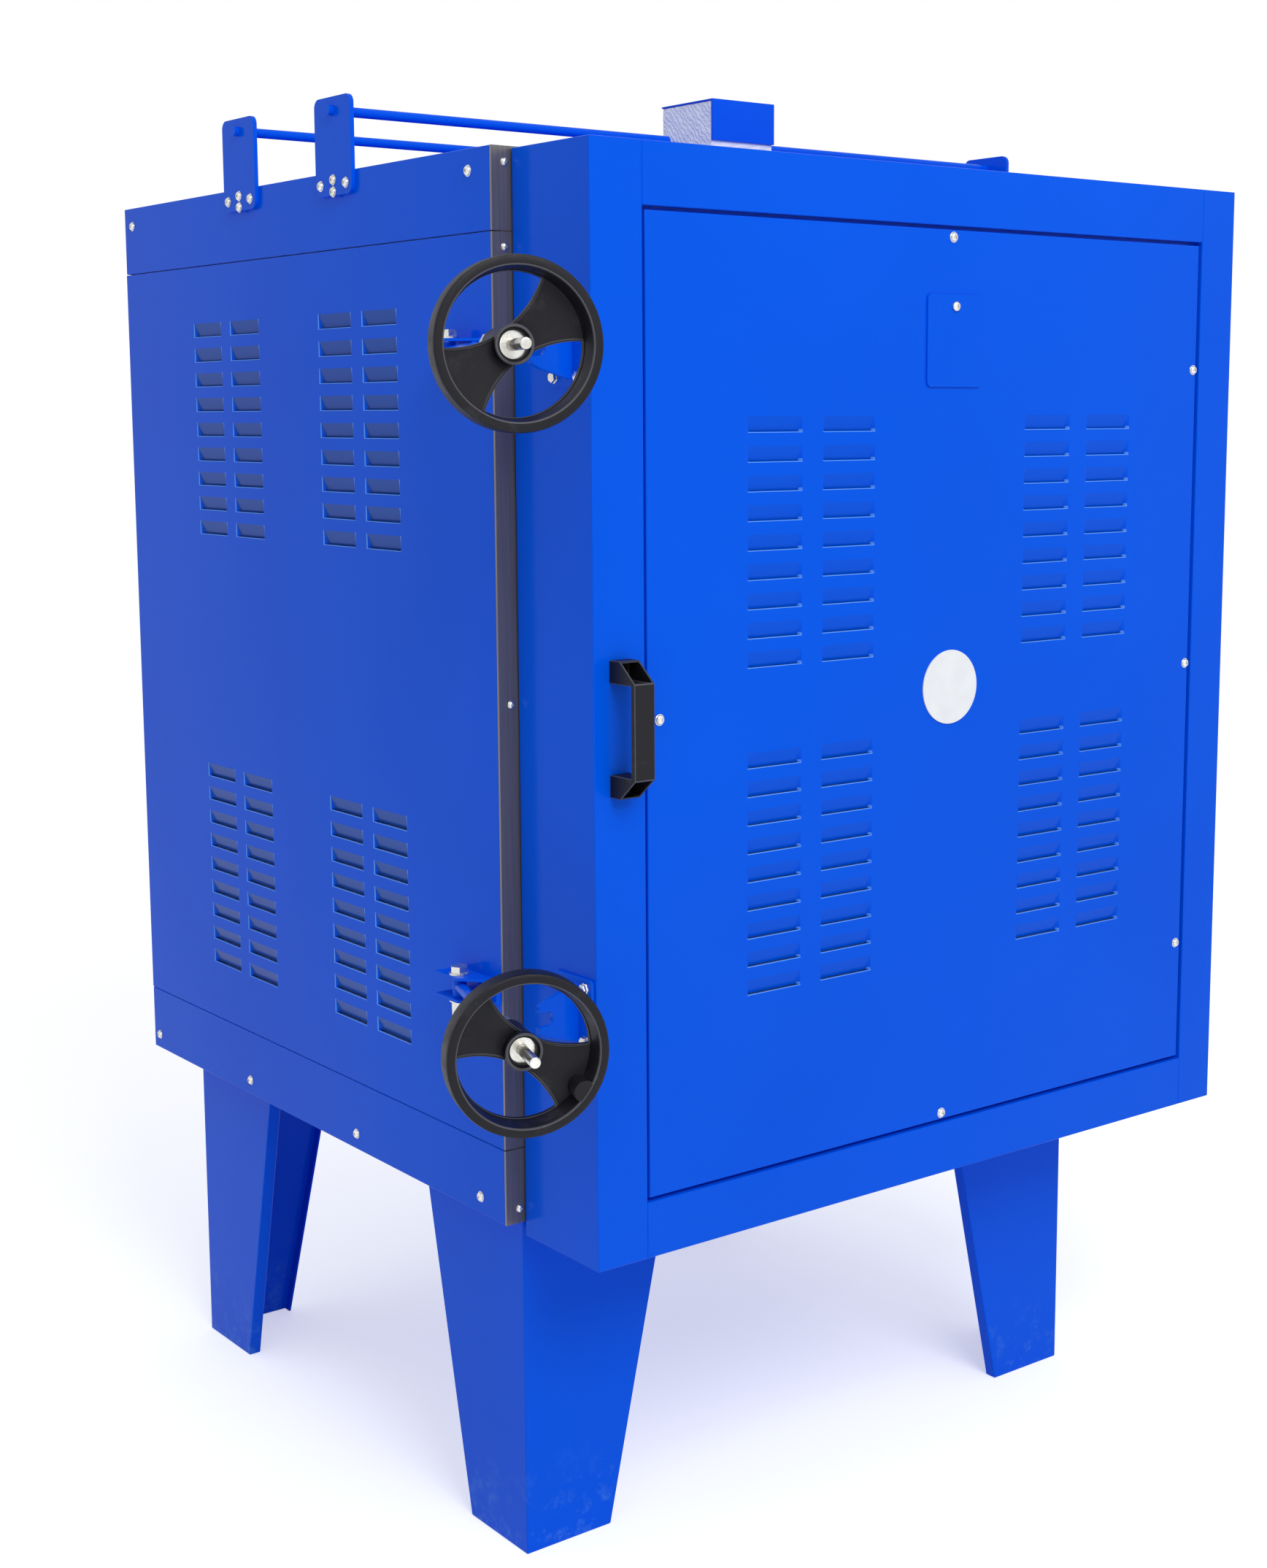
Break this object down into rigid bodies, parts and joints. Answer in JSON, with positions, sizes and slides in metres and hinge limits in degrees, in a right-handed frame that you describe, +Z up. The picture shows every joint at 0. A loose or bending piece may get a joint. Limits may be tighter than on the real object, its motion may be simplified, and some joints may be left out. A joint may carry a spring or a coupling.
{
  "type": "electric ceramic kiln",
  "caption": "Front-loading electric kiln with a louvred hinged door, swing-bolt handwheel clamps, a louvred cabinet and folded legs.",
  "frame": {"origin": "on the floor, in the middle of the rectangle the kiln covers, clamps and hinges included", "axes": "+Z up, +Y towards the back, +X to the right as seen from the front"},
  "size_m": [1.207, 1.1104, 1.608],
  "materials": {
    "blue_enamel": "glossy blue stoved enamel",
    "stainless_steel": "brushed",
    "firebrick": "matt porous firebrick",
    "flue_fibre": "crumpled pale fibre facing",
    "zinc_plate": "bright zinc plate",
    "black_plastic": "fine matt grain",
    "white_enamel": "satin white"
  },
  "bodies": {
    "kiln": {"back_left_leg": "blue_enamel", "back_panel": "blue_enamel", "back_right_leg": "blue_enamel", "base_tray": "blue_enamel", "cabinet_hinges": "blue_enamel", "clamp_clevises": "blue_enamel", "clamp_pivot_bolts": "zinc_plate", "cross_rods": "blue_enamel", "front_frame": "stainless_steel", "front_left_leg": "blue_enamel", "front_right_leg": "blue_enamel", "left_side_panel": "blue_enamel", "lining_back": "firebrick", "lining_floor": "firebrick", "lining_left": "firebrick", "lining_right": "firebrick", "lining_roof": "firebrick", "right_side_panel": "blue_enamel", "roof_cap": "blue_enamel", "roof_uprights": "blue_enamel", "vent_core": "flue_fibre", "vent_cover": "blue_enamel"},
    "door": {"door_badge": "white_enamel", "door_bottom_rail": "blue_enamel", "door_handle": "black_plastic", "door_hinges": "blue_enamel", "door_insulation": "firebrick", "door_left_stile": "blue_enamel", "door_panel": "blue_enamel", "door_right_stile": "blue_enamel", "door_top_rail": "blue_enamel", "lower_fork_bracket": "blue_enamel", "peephole_screw": "zinc_plate", "upper_fork_bracket": "blue_enamel"},
    "peephole_cover_plate": {"peephole_cover": "blue_enamel"},
    "upper_clamp_rod": {"upper_swing_rod": "zinc_plate"},
    "upper_clamp_wheel": {"upper_handwheel": "black_plastic", "upper_wheel_insert": "zinc_plate"},
    "lower_clamp_rod": {"lower_swing_rod": "zinc_plate"},
    "lower_clamp_wheel": {"lower_handwheel": "black_plastic", "lower_wheel_insert": "zinc_plate"}
  },
  "joints": [
    {"name": "door_hinge", "type": "hinge", "parent": "kiln", "child": "door", "pos_m": [0.59351, -0.33081, 0.935], "axis": [0, 0, 1], "range_deg": [0, 120]},
    {"name": "upper_clamp_swing", "type": "hinge", "parent": "kiln", "child": "upper_clamp_rod", "pos_m": [-0.43849, -0.26081, 1.3], "axis": [0, 0, -1], "range_deg": [-18.5, 101.5]},
    {"name": "lower_clamp_swing", "type": "hinge", "parent": "kiln", "child": "lower_clamp_rod", "pos_m": [-0.43849, -0.26081, 0.638], "axis": [0, 0, -1], "range_deg": [-18.5, 101.5]},
    {"name": "upper_wheel_spin", "type": "hinge", "parent": "upper_clamp_rod", "child": "upper_clamp_wheel", "pos_m": [-0.52892, -0.53108, 1.3], "axis": [-0.3173, -0.9483, 0], "continuous": true},
    {"name": "lower_wheel_spin", "type": "hinge", "parent": "lower_clamp_rod", "child": "lower_clamp_wheel", "pos_m": [-0.52892, -0.53108, 0.638], "axis": [-0.3173, -0.9483, 0], "continuous": true},
    {"name": "peephole_cover_swing", "type": "hinge", "parent": "door", "child": "peephole_cover_plate", "pos_m": [0.09251, -0.44931, 1.352], "axis": [0, -1, 0], "range_deg": [-110, 110]}
  ]
}
